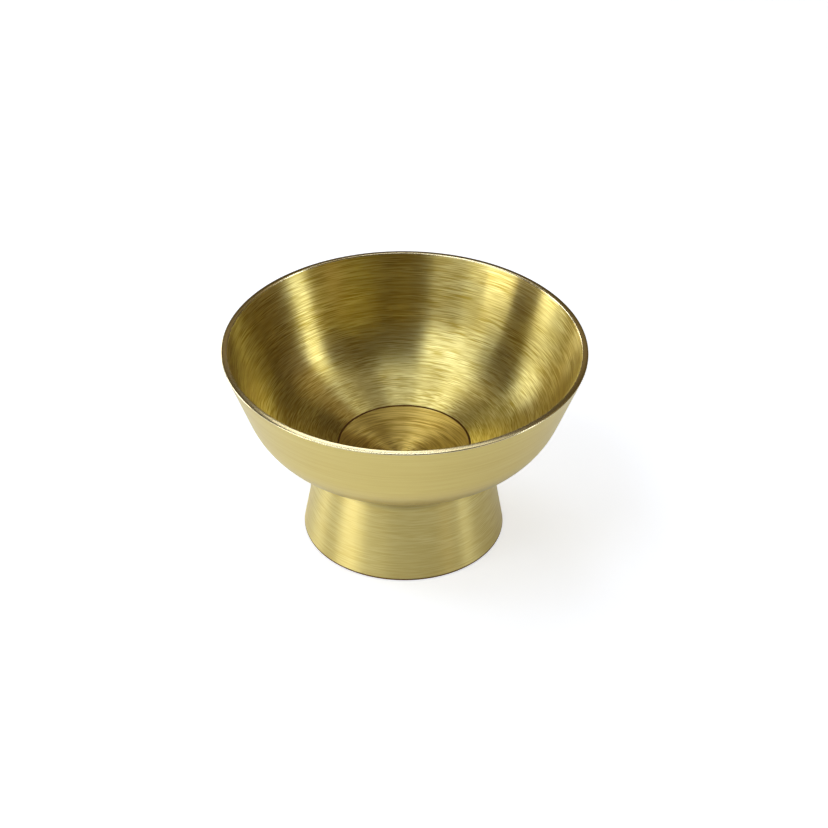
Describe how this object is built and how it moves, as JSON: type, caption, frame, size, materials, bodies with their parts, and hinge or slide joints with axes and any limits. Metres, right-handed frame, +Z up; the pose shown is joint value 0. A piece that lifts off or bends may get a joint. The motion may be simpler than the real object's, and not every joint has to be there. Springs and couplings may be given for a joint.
{
  "type": "puja bowl",
  "caption": "Footed round brass offering bowl with a brushed open cup, a let-in floor disc and a flared hollow foot held by a hidden centre screw.",
  "frame": {"origin": "centre of the foot's flat base ring, on the surface the bowl stands on", "axes": "+Z up along the bowl's axis of revolution, +X to the right and +Y away from the viewer in the picture"},
  "size_m": [0.12, 0.12, 0.0711],
  "materials": {
    "bowl_brass": "brass, brushed round the inside, satin outside, polished lip",
    "disc_brass": "brass, brushed in rings round its centre",
    "foot_brass": "brass, brushed round the foot",
    "plated_steel": "zinc-plated steel, dull bright"
  },
  "bodies": {
    "root": {"bowl_shell": "bowl_brass", "floor_disc": "disc_brass", "foot_shell": "foot_brass", "centre_screw": "plated_steel", "clamp_plate": "plated_steel", "flat_washer": "plated_steel", "spring_washer": "plated_steel", "hex_nut": "plated_steel"}
  },
  "joints": []
}
